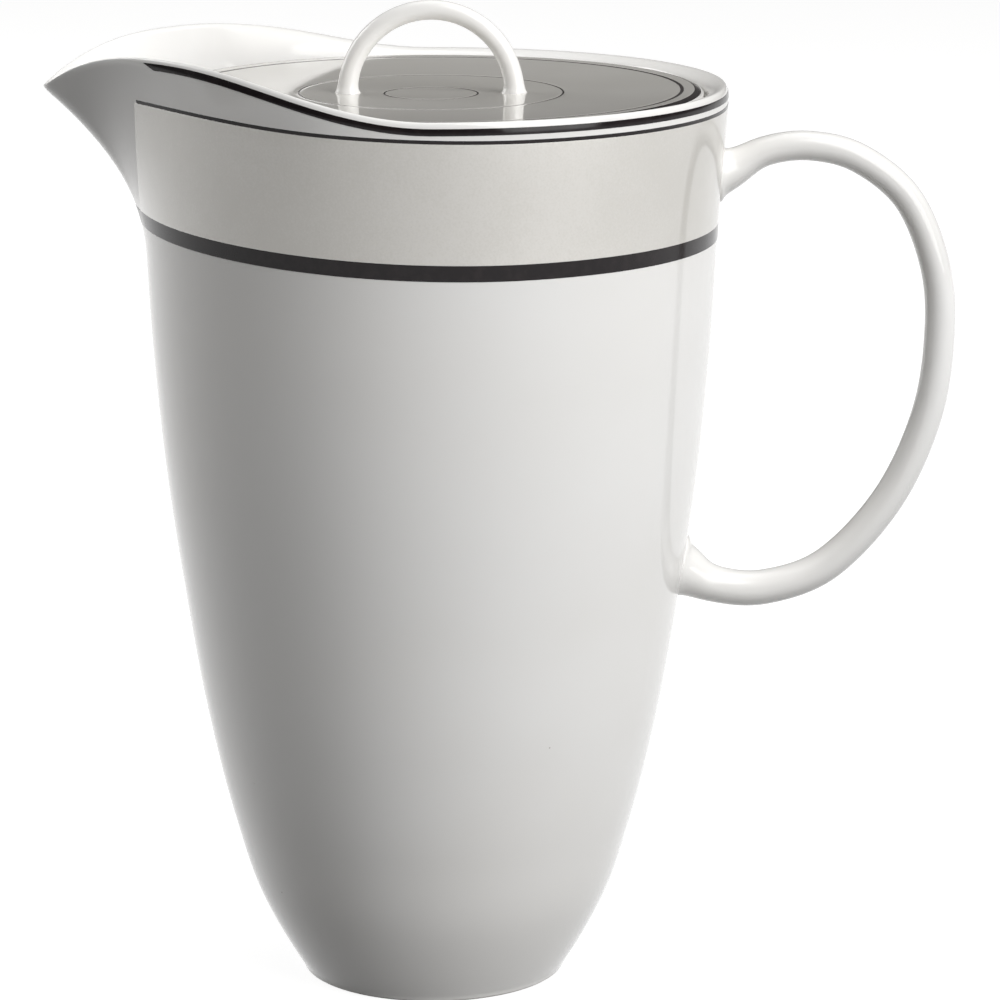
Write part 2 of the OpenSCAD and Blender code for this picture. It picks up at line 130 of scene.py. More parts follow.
def curve(points, x):
    """Cubic curve through points of rising x."""
    i = 0
    while i < len(points) - 2 and x >= points[i + 1][0]:
        i += 1

    def secant(k):
        return (points[k + 1][1] - points[k][1]) / (points[k + 1][0] - points[k][0])

    def tangent(k):
        if k == 0:
            return secant(0)
        if k == len(points) - 1:
            return secant(k - 1)
        before = points[k][0] - points[k - 1][0]
        after = points[k + 1][0] - points[k][0]
        return (after * secant(k - 1) + before * secant(k)) / (before + after)

    width = points[i + 1][0] - points[i][0]
    t = (x - points[i][0]) / width
    return ((2 * t ** 3 - 3 * t ** 2 + 1) * points[i][1] + (t ** 3 - 2 * t ** 2 + t) * width * tangent(i)
            + (3 * t ** 2 - 2 * t ** 3) * points[i + 1][1] + (t ** 3 - t ** 2) * width * tangent(i + 1))


def body_r(h):
    return rim_r * curve(body_shares, min(h, rim_h) / rim_h)


def inner_r(h):
    slope = (body_r(max(h, wall) + wall) - body_r(max(h, wall) - wall)) / (2 * wall)
    return body_r(h) - wall * math.sqrt(1 + slope ** 2)


def plan_r(angle):
    """Distance from the axis to the rim's ridge, at an angle in degrees from the spout."""
    a = math.radians(angle)
    if angle < tip_end_angle:
        return tip_centre * math.cos(a) + math.sqrt(tip_r ** 2 - (tip_centre * math.sin(a)) ** 2)
    if angle < side_angle:
        return side_r / math.cos(a - math.radians(side_angle))
    return mix(side_r, ridge_r, smooth((angle - side_angle) / (join_angle - side_angle)))


def edge_h(angle):
    """Height of the rim's edge: level round the body, with a raised wing on each side of the spout."""
    forward = plan_r(angle) * math.cos(math.radians(angle))
    top = wing_share * spout_reach
    if forward > top:
        fall = ((forward - top) / (spout_reach - top)) ** wing_fall_power
        return rim_h + wing_h - (wing_h + tip_drop) * fall
    return rim_h + wing_h * (1 - math.cos(math.pi * max(0, forward) / top)) / 2


def rise(angle):
    """How far the painted lines have risen towards the spout, from 0 to 1."""
    return math.cos(math.pi / 2 * angle / rise_end_angle) ** 2 if angle < rise_end_angle else 0


def edge_scale(angle):
    """How much of the rim's rolled edge, and of the rim band's depth below it, is left at an angle."""
    return 1 - wing_band_share * rise(angle)


def outer_r(angle, h):
    t = max(0, (h - base_h) / (edge_h(angle) - base_h))
    return body_r(h) + (plan_r(angle) - ridge_r) * t ** swell_power


def skin_r(angle, h):
    """Outer surface with the rim's edge rolled over."""
    scale = edge_scale(angle)
    roll = clamp(1 - (edge_h(angle) - h) / (lip_roll_h * scale))
    return outer_r(angle, h) - lip_round * scale * (1 - math.sqrt(1 - roll ** 2))


def place(angle, side, r, h):
    a = math.radians(angle)
    return (-r * math.cos(a) * mm, side * r * math.sin(a) * mm, h * mm)


def turn_columns(half, crowding):
    """Angles from the spout and sides of the columns of a full turn, closer together at the spout."""
    angles = [180 * (crowding * u + (1 - crowding) * u * u) for u in steps(half)]
    return [(a, -1) for a in angles] + [(a, 1) for a in reversed(angles[1:-1])]


def grid_faces(rows, across, wrap, first=0):
    """Quads between rows of points; each row closes on itself where wrap is true."""
    faces = []
    for k in range(rows - 1):
        for j in range(across if wrap else across - 1):
            a = first + k * across + j
            b = first + k * across + (j + 1) % across
            faces.append((a, b, b + across, a + across))
    return faces


def make_piece(name, points, faces, body, material):
    """A smooth mesh that stands for the CAD node of its own name."""
    mesh = bpy.data.meshes.new(name)
    mesh.from_pydata(points, [], faces)
    mesh.validate()
    mesh.shade_smooth()
    mesh.materials.append(material)
    piece = bpy.data.objects.new(name + "_look", mesh)
    bpy.context.scene.collection.objects.link(piece)
    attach(piece, body)
    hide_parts(name)
    return piece


def capped_rings(rings, start, end):
    """Points and faces of closed rings with a pole at each end."""
    across = len(rings[0])
    points = [p for ring in rings for p in ring] + [start, end]
    faces = grid_faces(len(rings), across, True)
    last = (len(rings) - 1) * across
    for j in range(across):
        n = (j + 1) % across
        faces.append((len(points) - 2, n, j))
        faces.append((len(points) - 1, last + j, last + n))
    return points, faces


def new_group(name, inputs, outputs):
    """An empty node group; inputs are (name, socket type, value), outputs (name, socket type)."""
    group = bpy.data.node_groups.new(name, "ShaderNodeTree")
    for label, kind, value in inputs:
        socket = group.interface.new_socket(label, in_out="INPUT", socket_type=kind)
        if value is not None:
            socket.default_value = value
    for label, kind in outputs:
        group.interface.new_socket(label, in_out="OUTPUT", socket_type=kind)
    return group, group.nodes.new("NodeGroupInput"), group.nodes.new("NodeGroupOutput")


def noise(tree, vector, scale, detail=2.0):
    """A noise texture at a scale that is a number or a socket; returns its value socket."""
    node = tree.nodes.new("ShaderNodeTexNoise")
    node.inputs["Detail"].default_value = detail
    tree.links.new(vector, node.inputs["Vector"])
    if isinstance(scale, (int, float)):
        node.inputs["Scale"].default_value = scale
    else:
        tree.links.new(scale, node.inputs["Scale"])
    return node.outputs["Fac"]


def maths(tree, operation, a, b=0.0):
    node = tree.nodes.new("ShaderNodeMath")
    node.operation = operation
    for socket, value in zip(node.inputs, (a, b)):
        if isinstance(value, (int, float)):
            socket.default_value = value
        else:
            tree.links.new(value, socket)
    return node.outputs[0]


def remap(tree, value, low, high, to_low, to_high):
    node = tree.nodes.new("ShaderNodeMapRange")
    node.interpolation_type = "SMOOTHSTEP"
    tree.links.new(value, node.inputs["Value"])
    for label, number in (("From Min", low), ("From Max", high), ("To Min", to_low), ("To Max", to_high)):
        node.inputs[label].default_value = number
    return node.outputs["Result"]


def blend_colour(tree, factor, a, b):
    node = tree.nodes.new("ShaderNodeMix")
    node.data_type = "RGBA"
    tree.links.new(factor, node.inputs["Factor"])
    for socket, value in ((node.inputs["A"], a), (node.inputs["B"], b)):
        if isinstance(value, tuple):
            socket.default_value = (*value, 1)
        else:
            tree.links.new(value, socket)
    return node.outputs["Result"]


def glaze_surface_group():
    """The glaze's slow waves and fine pebbling, as a height from 0 to 1."""
    group, given, out = new_group("glaze_surface", [("Vector", "NodeSocketVector", None),
                                                    ("Wave scale", "NodeSocketFloat", 60),
                                                    ("Pebble scale", "NodeSocketFloat", 900),
                                                    ("Pebble share", "NodeSocketFloat", 0.1)],
                                  [("Height", "NodeSocketFloat")])
    waves = noise(group, given.outputs["Vector"], given.outputs["Wave scale"], 1.0)
    pebbles = noise(group, given.outputs["Vector"], given.outputs["Pebble scale"], 2.0)
    share = given.outputs["Pebble share"]
    height = maths(group, "ADD", maths(group, "MULTIPLY", waves, maths(group, "SUBTRACT", 1.0, share)),
                   maths(group, "MULTIPLY", pebbles, share))
    group.links.new(height, out.inputs["Height"])
    return group


def firing_marks_group():
    """Rare dark pinpoints that iron in the clay leaves, and a slow drift of tone."""
    group, given, out = new_group("firing_marks", [("Vector", "NodeSocketVector", None),
                                                   ("Speck scale", "NodeSocketFloat", 90),
                                                   ("Speck size", "NodeSocketFloat", 0.012),
                                                   ("Drift scale", "NodeSocketFloat", 14)],
                                  [("Specks", "NodeSocketFloat"), ("Drift", "NodeSocketFloat")])
    cells = group.nodes.new("ShaderNodeTexVoronoi")
    group.links.new(given.outputs["Vector"], cells.inputs["Vector"])
    group.links.new(given.outputs["Speck scale"], cells.inputs["Scale"])
    specks = maths(group, "LESS_THAN", cells.outputs["Distance"], given.outputs["Speck size"])
    drift = noise(group, given.outputs["Vector"], given.outputs["Drift scale"], 3.0)
    group.links.new(specks, out.inputs["Specks"])
    group.links.new(drift, out.inputs["Drift"])
    return group


glaze_surface = glaze_surface_group()
firing_marks = firing_marks_group()


def new_material(name):
    """A material and its parts: the tree, its shader and the object's own coordinates."""
    material = bpy.data.materials.new(name)
    material.use_nodes = True
    tree = material.node_tree
    where = tree.nodes.new("ShaderNodeTexCoord").outputs["Object"]
    return material, tree, tree.nodes["Principled BSDF"], where


def place_group(tree, group, vector, **values):
    node = tree.nodes.new("ShaderNodeGroup")
    node.node_tree = group
    tree.links.new(vector, node.inputs["Vector"])
    for label, value in values.items():
        node.inputs[label.replace("_", " ").capitalize()].default_value = value
    return node


def add_bump(tree, shader, height, depth, strength):
    bump = tree.nodes.new("ShaderNodeBump")
    bump.inputs["Distance"].default_value = depth
    bump.inputs["Strength"].default_value = strength
    tree.links.new(height, bump.inputs["Height"])
    tree.links.new(bump.outputs["Normal"], shader.inputs["Normal"])


china_white = (0.83, 0.825, 0.812)
china_warm = (0.80, 0.79, 0.77)
china_speck = (0.35, 0.31, 0.27)
bare_china = (0.72, 0.70, 0.66)
glaze_roughness = (0.05, 0.09)
glaze_specular = 0.4
glaze_wave_depth = 0.0004
glaze_wave_strength = 0.06
bare_roughness = 0.62
bare_h = 0.00035


def china_material(name, with_foot):
    """Clear glaze over white china, with the foot's resting face left bare where there is one."""
    material, tree, shader, where = new_material(name)
    marks = place_group(tree, firing_marks, where)
    surface = place_group(tree, glaze_surface, where)
    drift = remap(tree, marks.outputs["Drift"], 0.35, 0.65, 0.0, 1.0)
    colour = blend_colour(tree, drift, china_white, china_warm)
    colour = blend_colour(tree, marks.outputs["Specks"], colour, china_speck)
    roughness = remap(tree, marks.outputs["Drift"], 0.3, 0.7, *glaze_roughness)
    if with_foot:
        split = tree.nodes.new("ShaderNodeSeparateXYZ")
        tree.links.new(where, split.inputs[0])
        bare = maths(tree, "LESS_THAN", split.outputs["Z"], bare_h)
        colour = blend_colour(tree, bare, colour, bare_china)
        extra = maths(tree, "MULTIPLY", bare, bare_roughness - glaze_roughness[1])
        roughness = maths(tree, "ADD", extra, roughness)
    tree.links.new(colour, shader.inputs["Base Color"])
    tree.links.new(roughness, shader.inputs["Roughness"])
    shader.inputs["Specular IOR Level"].default_value = glaze_specular
    add_bump(tree, shader, surface.outputs["Height"], glaze_wave_depth, glaze_wave_strength)
    return material


body_china = china_material("body_china", True)


def seat_line():
    """Inside of the rim as (share of the way out to the ridge or radius, height), from the ridge down."""
    slope = [(recess_r, (1 - q) ** slope_power, 1 - q) for q in steps(14)]
    flat = [(mix(recess_r, seat_r + seat_t / 2, t), 0, 0) for t in (0.25, 0.5, 0.75)]
    nose = []
    for t in steps(8):
        b = math.pi * t
        nose.append((seat_r + seat_t / 2 * (1 - math.sin(b)), 0, seat_h - seat_t / 2 * (1 - math.cos(b))))
    return slope, flat, nose


def inner_profile(angle):
    """Inside of the body at an angle, from the rim's ridge down to base_h."""
    slope, flat, nose = seat_line()
    edge = edge_h(angle)
    ridge = skin_r(angle, edge)
    seat = [(r + (ridge - recess_r) * out, seat_h + (edge - seat_h) * up) for r, out, up in slope]
    seat += [(r, seat_h) for r, _, _ in flat]
    seat += [(r, h) for r, _, h in nose]
    seat += [(mix(seat_r + seat_t / 2, inner_r(seat_foot_h), t), mix(seat_h - seat_t, seat_foot_h, t))
             for t in (0.35, 0.7)]
    seat += [(inner_r(h), h) for h in (mix(seat_foot_h, base_h, t) for t in steps(16))]
    count = len(seat) - 1
    lip = lip_round * edge_scale(angle)
    s = smooth((angle - seat_start_angle) / (seat_full_angle - seat_start_angle))
    profile = []
    for i, (r, h) in enumerate(seat):
        t = (i / count) ** inside_crowding
        open_h = mix(edge, base_h, t)
        rounding = 1 - (1 - clamp((edge - open_h) / lip)) ** 2
        thick = mix(lip_t, wall, clamp(2 * t))
        slope_there = (outer_r(angle, open_h) - outer_r(angle, open_h - wall)) / wall
        open_r = outer_r(angle, open_h) - mix(lip, thick * math.sqrt(1 + slope_there ** 2), rounding)
        profile.append((mix(open_r, r, s), mix(open_h, h, s)))
    return profile


def body_rings(columns):
    turn = math.atan((body_r(inside_h + inside_round) - body_r(inside_h)) / inside_round)
    turn_h = inside_h + inside_round * (1 - math.sin(turn))
    turn_r = inner_r(turn_h) - inside_round * math.cos(turn)
    foot_outer_r = body_r(foot_round) - foot_round

    def ring(r, h):
        return [place(a, side, r, h) for a, side in columns]

    rings = [ring(foot_inner_r * t, foot_recess) for t in (0.25, 0.5, 0.75, 0.9)]
    rings += [ring(foot_inner_r - foot_inner_round * (1 - math.sin(b)),
                   foot_recess - foot_inner_round * (1 - math.cos(b)))
              for b in (0, math.pi / 8, math.pi / 4, 3 * math.pi / 8)]
    rings += [ring(foot_inner_r, mix(foot_recess - foot_inner_round, foot_inner_round, t))
              for t in (0, 0.5, 1)]
    rings += [ring(foot_inner_r + foot_inner_round * (1 - math.cos(b)), foot_inner_round * (1 - math.sin(b)))
              for b in (math.pi / 8, math.pi / 4, 3 * math.pi / 8, math.pi / 2)]
    rings += [ring(mix(foot_inner_r + foot_inner_round, foot_outer_r, t), 0) for t in (0.5, 1)]
    rings += [ring(foot_outer_r + foot_round * math.sin(b), foot_round * (1 - math.cos(b)))
              for b in (math.pi / 8, math.pi / 4, 3 * math.pi / 8)]
    rings += [ring(body_r(h), h) for h in (mix(foot_round, base_h, t ** row_crowding) for t in steps(80))]
    rolls = {a: lip_roll_h * edge_scale(a) for a, _ in columns}
    for t in steps(40)[1:]:
        heights = {a: mix(base_h, edge_h(a) - roll, t) for a, roll in rolls.items()}
        rings.append([place(a, side, outer_r(a, heights[a]), heights[a]) for a, side in columns])
    for t in steps(10)[1:]:
        heights = {a: edge_h(a) - roll * (1 - math.sin(math.pi / 2 * t)) for a, roll in rolls.items()}
        rings.append([place(a, side, skin_r(a, heights[a]), heights[a]) for a, side in columns])
    profiles = {a: inner_profile(a) for a, _ in columns}
    for i in range(1, len(profiles[columns[0][0]])):
        rings.append([place(a, side, *profiles[a][i]) for a, side in columns])
    inside_heights = [mix(base_h, turn_h, 1 - (1 - t) ** row_crowding) for t in steps(60)[1:]]
    rings += [ring(inner_r(h), h) for h in inside_heights]
    for t in steps(8)[1:]:
        b = mix(turn, math.pi / 2, t)
        rings.append(ring(turn_r + inside_round * math.cos(b), inside_h + inside_round * (1 - math.sin(b))))
    rings += [ring(turn_r * (1 - t), inside_h) for t in (0.25, 0.5, 0.75)]
    return rings


columns = turn_columns(128, 0.35)
points, faces = capped_rings(body_rings(columns), (0, 0, foot_recess * mm), (0, 0, inside_h * mm))
make_piece("jug_body", points, faces, "jug", body_china)

# Jug handle: a thin cast rod bent into a loop, stuck to the body with slip before
# firing, so its two ends spread into the wall. Upper root near the rim, lower root
# below the middle.
handle_reach = 39.4
handle_drop = 11.7
handle_rise = 82.7
handle_half = 2.7
handle_low_half = 3.4
handle_flare = 0.9
handle_flare_len = 4
handle_fillet = 0.9
handle_fillet_len = 1.1
handle_sink = 0.9
handle_width_share = 1.15
handle_probe = 0.004
handle_crowding = 0.35
# Shares of handle_reach out from the rim's face against shares of handle_rise above the lowest point
handle_shares = [(-0.2, 0.89), (-0.075, 0.927), (0.025, 0.951), (0.178, 0.989), (0.381, 1), (0.609, 0.972),
                 (0.838, 0.883), (0.97, 0.736), (1, 0.585), (0.949, 0.397), (0.777, 0.206), (0.495, 0.055),
                 (0.203, 0.001), (-0.04, 0.008), (-0.2, 0.05), (-0.34, 0.12)]
handle_half_shares = [(0, 0), (0.4, 0.05), (0.6, 0.25), (0.75, 0.6), (0.9, 1), (1, 1)]
handle_low = rim_h - handle_drop - handle_rise
handle_sides = 40
handle_steps = 170


def handle_mid(t):
    last = len(handle_shares) - 1
    out = curve([(i / last, p[0]) for i, p in enumerate(handle_shares)], t)
    up = curve([(i / last, p[1]) for i, p in enumerate(handle_shares)], t)
    return Vector((rim_r + handle_reach * out, 0, handle_low + handle_rise * up))


def wall_gap(point):
    """Distance of a point outside the round body, less than zero inside it."""
    return math.hypot(point.x, point.y) - body_r(point.z)


def handle_point(t, b):
    """Point of the handle's surface at a share of the way and an angle round the rod."""
    mid = handle_mid(t)
    along = (handle_mid(min(1, t + handle_probe)) - handle_mid(max(0, t - handle_probe))).normalized()
    up = Vector((-along.z, 0, along.x))
    half = mix(handle_half, handle_low_half, curve(handle_half_shares, t))
    half += handle_flare * math.exp(-(max(0, mid.x - body_r(mid.z)) / handle_flare_len) ** 2)
    ray = up * math.cos(b) + Vector((0, handle_width_share * math.sin(b), 0))
    gap = max(0, wall_gap(mid + ray * half))
    return mid + ray * (half + handle_fillet * math.exp(-gap / handle_fillet_len))


def root_share(b, inside, outside):
    """Share of the way at which the handle's surface lies handle_sink inside the wall."""
    for _ in range(24):
        middle = (inside + outside) / 2
        if wall_gap(handle_point(middle, b)) < -handle_sink:
            inside = middle
        else:
            outside = middle
    return (inside + outside) / 2


angles = [2 * math.pi * i / handle_sides for i in range(handle_sides)]
roots = [(root_share(b, 0, 0.25), root_share(b, 1, 0.8)) for b in angles]
rings = []
for t in steps(handle_steps):
    near_ends = mix(t, smooth(t), handle_crowding)
    rings.append([tuple(handle_point(mix(start, end, near_ends), b) * mm)
                  for b, (start, end) in zip(angles, roots)])
middles = [tuple(sum((Vector(p) for p in ring), Vector()) / handle_sides) for ring in (rings[0], rings[-1])]
points, faces = capped_rings(rings, *middles)
make_piece("jug_handle", points, faces, "jug", china_material("handle_china", False))

# Shoulder band: a broad brown-black stripe fired onto the glaze right round the body,
# dipping away from the spout. The stripes stand a twentieth of a millimetre proud.
shoulder_depth = 27.85
shoulder_w = 2.85
shoulder_rise = 3.1
transfer_lift = 0.05
transfer_sink = 0.04
transfer_edge = 0.12
edge_lift_share = 0.2
near_edge_share = 0.3
band_crowding = 0.5


def skin_point(angle, side, h, lift):
    """Point over the body's outer surface, lifted along the surface's normal."""
    step = 0.2

    def at(a, height):
        return Vector(place(abs(a), side if a >= 0 else -side, skin_r(abs(a), height), height))

    across = at(angle + step, h) - at(angle - step, h)
    upward = at(angle, h + step) - at(angle, h - step)
    normal = across.cross(upward).normalized() * side
    return at(angle, h) + normal * lift * mm


def shell(rows, keep, wrap):
    """Points and faces of a thin closed shell. rows holds (top, bottom) points, and keep(k, j) says
    which cells are there."""
    across = len(rows[0])
    points = [p[0] for row in rows for p in row] + [p[1] for row in rows for p in row]
    under = len(rows) * across
    faces = []
    walls = {}
    for k in range(len(rows) - 1):
        for j in range(across if wrap else across - 1):
            if not keep(k, j):
                continue
            n = (j + 1) % across
            quad = (k * across + j, k * across + n, (k + 1) * across + n, (k + 1) * across + j)
            faces.append(quad)
            faces.append(tuple(i + under for i in reversed(quad)))
            for a, b in zip(quad, quad[1:] + quad[:1]):
                if (b, a) in walls:
                    del walls[(b, a)]
                else:
                    walls[(a, b)] = True
    faces += [(b, a, a + under, b + under) for a, b in walls]
    return points, faces


def edge_shares(width, count):
    """Shares across a band, with two close steps at each edge for its soft rim."""
    soft = transfer_edge / width
    inner = [mix(soft, 1 - soft, t) for t in steps(count)]
    return [0, soft * near_edge_share] + inner + [1 - soft * near_edge_share, 1]


def edge_lift(distance):
    """How far a band stands proud, at a distance in from its edge, so that adjoining bands meet."""
    swell = math.sqrt(1 - (1 - clamp(distance / transfer_edge)) ** 2)
    return transfer_lift * mix(edge_lift_share, 1, swell)


def body_band(low, high, width, end, count, half, wrap=False, hole=None):
    """A band on the body between two heights that depend on the angle. end(share) is where it stops on
    each side of the spout, and hole is a (height, radius) left out at the back."""
    rows = []
    for v in edge_shares(width, count):
        start = end(v)
        across = min(v, 1 - v) * width
        arcs = [0] if wrap else [0, transfer_edge * near_edge_share, transfer_edge]
        first = start + math.degrees(arcs[-1] / rim_r)
        turns = [(start + math.degrees(arc / rim_r), -1, arc) for arc in arcs[:-1]]
        turns += [(mix(first, 180, mix(u, u * u, band_crowding)), -1, transfer_edge) for u in steps(half)]
        turns += [(a, 1, arc) for a, _, arc in reversed(turns[1:-1] if wrap else turns[:-1])]
        row = []
        for angle, side, along in turns:
            h = mix(low(angle), high(angle), v)
            row.append((skin_point(angle, side, h, edge_lift(min(across, along))),
                        skin_point(angle, side, h, -transfer_sink)))
        rows.append(row)

    def keep(k, j):
        if hole is None:
            return True
        middle = (rows[k][j][0] + rows[k + 1][(j + 1) % len(rows[k])][0]) / 2
        return middle.x < 0 or math.hypot(middle.y, middle.z - hole[0] * mm) > hole[1] * mm

    return shell(rows, keep, wrap)


black_deep = (0.0105, 0.0075, 0.0085)
black_thin = (0.019, 0.014, 0.015)
black_thin_scale = 420
black_drift_scale = 150
black_roughness = (0.1, 0.2)
black_specular = 0.25
black_pebble_share = 0.35
black_wave_depth = 0.0003
black_wave_strength = 0.08


def enamel_material():
    """Brown-black enamel, a little thinner in places, with the glaze's own gloss."""
    material, tree, shader, where = new_material("black_enamel")
    surface = place_group(tree, glaze_surface, where, pebble_share=black_pebble_share)
    thin = remap(tree, noise(tree, where, black_thin_scale, 4.0), 0.4, 0.75, 0.0, 1.0)
    tree.links.new(blend_colour(tree, thin, black_deep, black_thin), shader.inputs["Base Color"])
    drift = noise(tree, where, black_drift_scale, 3.0)
    tree.links.new(remap(tree, drift, 0.3, 0.7, *black_roughness), shader.inputs["Roughness"])
    shader.inputs["Specular IOR Level"].default_value = black_specular
    add_bump(tree, shader, surface.outputs["Height"], black_wave_depth, black_wave_strength)
    return material


black_enamel = enamel_material()


def shoulder_low(angle):
    return rim_h - shoulder_depth + shoulder_rise * rise(angle)


def shoulder_top(angle):
    return shoulder_low(angle) + shoulder_w


points, faces = body_band(shoulder_low, shoulder_top, shoulder_w, lambda v: 0, 6, 128, wrap=True)
make_piece("shoulder_band", points, faces, "jug", black_enamel)

# Pinstripe: a hairline of the same enamel a little below the rim, which stops square
# on each side of the spout.
pin_depth = 3.55
pin_w = 0.65
pin_rise = 3.2
pin_start_angle = 21.5


def pin_low(angle):
    return rim_h - pin_depth + pin_rise * rise(angle) - pin_w / 2


def pin_high(angle):
    return pin_low(angle) + pin_w


points, faces = body_band(pin_low, pin_high, pin_w, lambda v: pin_start_angle, 3, 128)
make_piece("pinstripe", points, faces, "jug", black_enamel)

# Rim band: a stripe just under the rolled edge of the rim, cut off at a slant on each
# side of the spout, where it runs closer to the edge.
rim_band_depth = 1.05
rim_band_w = 1.2
band_low_angle = 27.6
band_high_angle = 24.8


def rim_band_high(angle):
    return edge_h(angle) - rim_band_depth * edge_scale(angle)


def rim_band_low(angle):
    return rim_band_high(angle) - rim_band_w


points, faces = body_band(rim_band_low, rim_band_high, rim_band_w,
                          lambda v: mix(band_low_angle, band_high_angle, v), 4, 128)
make_piece("rim_band", points, faces, "jug", black_enamel)

# Pearl band: a wide field of pearl grey lustre under clear glaze, from the shoulder
# band up to the pinstripe. It is a printed transfer, cut off upright beside the
# spout, and left out where the handle's upper root joins the wall.
pearl_back = 1.5
pearl_end = rim_r - pearl_back
pearl_root_r = 2
pearl_rows = 22
pearl_light = (0.66, 0.643, 0.61)
pearl_dark = (0.61, 0.593, 0.555)
mica_scale = 2600
mica_share = 0.45
pearl_drift_scale = 30
pearl_roughness = (0.38, 0.5)
pearl_metallic = (0.12, 0.28)
pearl_coat_roughness = 0.05


def pearl_material():
    """Mica lustre: a soft metallic sheen with a fine grain, under a coat of clear glaze."""
    material, tree, shader, where = new_material("pearl_lustre")
    surface = place_group(tree, glaze_surface, where)
    marks = place_group(tree, firing_marks, where, drift_scale=pearl_drift_scale)
    grain = noise(tree, where, mica_scale, 2.0)
    drift = maths(tree, "ADD", maths(tree, "MULTIPLY", marks.outputs["Drift"], 1 - mica_share),
                  maths(tree, "MULTIPLY", grain, mica_share))
    tree.links.new(blend_colour(tree, remap(tree, drift, 0.38, 0.62, 0.0, 1.0), pearl_dark, pearl_light),
                   shader.inputs["Base Color"])
    tree.links.new(remap(tree, grain, 0.3, 0.7, *pearl_roughness), shader.inputs["Roughness"])
    tree.links.new(remap(tree, grain, 0.35, 0.65, *pearl_metallic), shader.inputs["Metallic"])
    shader.inputs["Coat Weight"].default_value = 1
    shader.inputs["Coat Roughness"].default_value = pearl_coat_roughness
    add_bump(tree, shader, surface.outputs["Height"], glaze_wave_depth, glaze_wave_strength)
    return material


pearl_lustre = pearl_material()


def pearl_stop(v):
    """Angle from the spout at which the pearl meets its upright end, at a share of its height."""
    low, high = 0.0, pin_start_angle
    for _ in range(24):
        angle = (low + high) / 2
        h = mix(shoulder_top(angle), pin_low(angle), v)
        if skin_r(angle, h) * math.cos(math.radians(angle)) > pearl_end:
            low = angle
        else:
            high = angle
    return (low + high) / 2


pearl_w = rim_h - pin_depth - pin_w / 2 - (rim_h - shoulder_depth + shoulder_w)
root_h = handle_mid(roots[0][0]).z
points, faces = body_band(shoulder_top, pin_low, pearl_w, pearl_stop, pearl_rows, 160,
                          hole=(root_h, pearl_root_r))
make_piece("pearl_band", points, faces, "jug", pearl_lustre)

# Lid: a pressed china disc with a shallow dish, a softly rounded edge and a skirt
# below that keeps it centred in the jug's mouth. It lies loose on the seat.
lid_gap = 0.5
lid_edge_t = 2.2
lid_t = 2.6
lid_dish = 1.1
lid_band_fall = 0.4
lid_fall_power = 1.3
lid_band_w = 1.2
lid_round = 0.6
skirt_gap = 0.6
skirt_t = 2
skirt_depth = 7
skirt_round = 0.7
lid_edge_w = 0.5
lid_r = recess_r - lid_gap
lid_edge_h = seat_h + lid_edge_t
dish_r = lid_r - lid_edge_w
lid_mid_h = lid_edge_h + lid_band_fall - lid_dish
lid_band_r = dish_r - lid_band_w
skirt_r = seat_r - skirt_gap
under_h = lid_mid_h - lid_t


def lid_top(r):
    """Height of the lid's top: a dish up to the black band, which slopes down to the edge."""
    dish = lid_dish * (min(r, lid_band_r) / lid_band_r) ** 2
    return lid_mid_h + dish - lid_band_fall * clamp((r - lid_band_r) / lid_band_w) ** lid_fall_power


def arc(r, h, size, start, turn=90, count=5):
    """Points of an arc about a centre, from an angle in degrees, turning clockwise."""
    turns = [math.radians(start - turn * t) for t in steps(count)]
    return [(r + size * math.cos(b), h + size * math.sin(b)) for b in turns]


def lid_profile():
    """Half section of the lid from the middle of its top to the middle of its underside."""
    foot = seat_h - skirt_depth
    slant = math.atan(lid_band_fall / lid_band_w)
    tilt = math.degrees(slant)
    edge_mid_h = lid_edge_h - lid_round * (math.cos(slant) + math.sin(slant) / 4)
    line = [(lid_band_r * t, lid_top(lid_band_r * t)) for t in steps(40)[1:]]
    line += [(r, lid_top(r)) for r in (mix(lid_band_r, dish_r, t) for t in steps(4)[1:])]
    line += arc(lid_r - lid_round, edge_mid_h, lid_round, 90 - tilt, 90 - tilt, 6)
    line += arc(lid_r - lid_round, seat_h + lid_round, lid_round, 0)
    line += [(mix(lid_r, skirt_r, t), seat_h) for t in (0.4, 0.8)]
    line += [(skirt_r, mix(seat_h, foot + skirt_round, t)) for t in (0.1, 0.5, 1)]
    line += arc(skirt_r - skirt_round, foot + skirt_round, skirt_round, 0)
    line += arc(skirt_r - skirt_t + skirt_round, foot + skirt_round, skirt_round, 270)
    line += [(skirt_r - skirt_t, mix(foot + skirt_round, under_h - skirt_round, t)) for t in (0.5, 1)]
    line += [(skirt_r - skirt_t - skirt_round * t, under_h - skirt_round * (1 - t) ** 2) for t in (0.4, 1)]
    line += [(skirt_r * t, under_h) for t in (0.75, 0.5, 0.25)]
    return line


lid_columns = turn_columns(112, 1.0)
rings = [[place(a, side, r, h) for a, side in lid_columns] for r, h in reversed(lid_profile())]
points, faces = capped_rings(rings, (0, 0, under_h * mm), (0, 0, lid_mid_h * mm))
make_piece("lid", points, faces, "lid", china_material("lid_china", False))

# Lid loop: a thin cast rod arched into a half ring, stuck into the lid's dish with
# slip, so each foot spreads a little onto the lid.
loop_r = 15.1
loop_rod_r = 1.8
loop_flare = 0.6
loop_foot_h = 2
loop_sink = 0.8
loop_sides = 32
loop_fade_share = 0.4


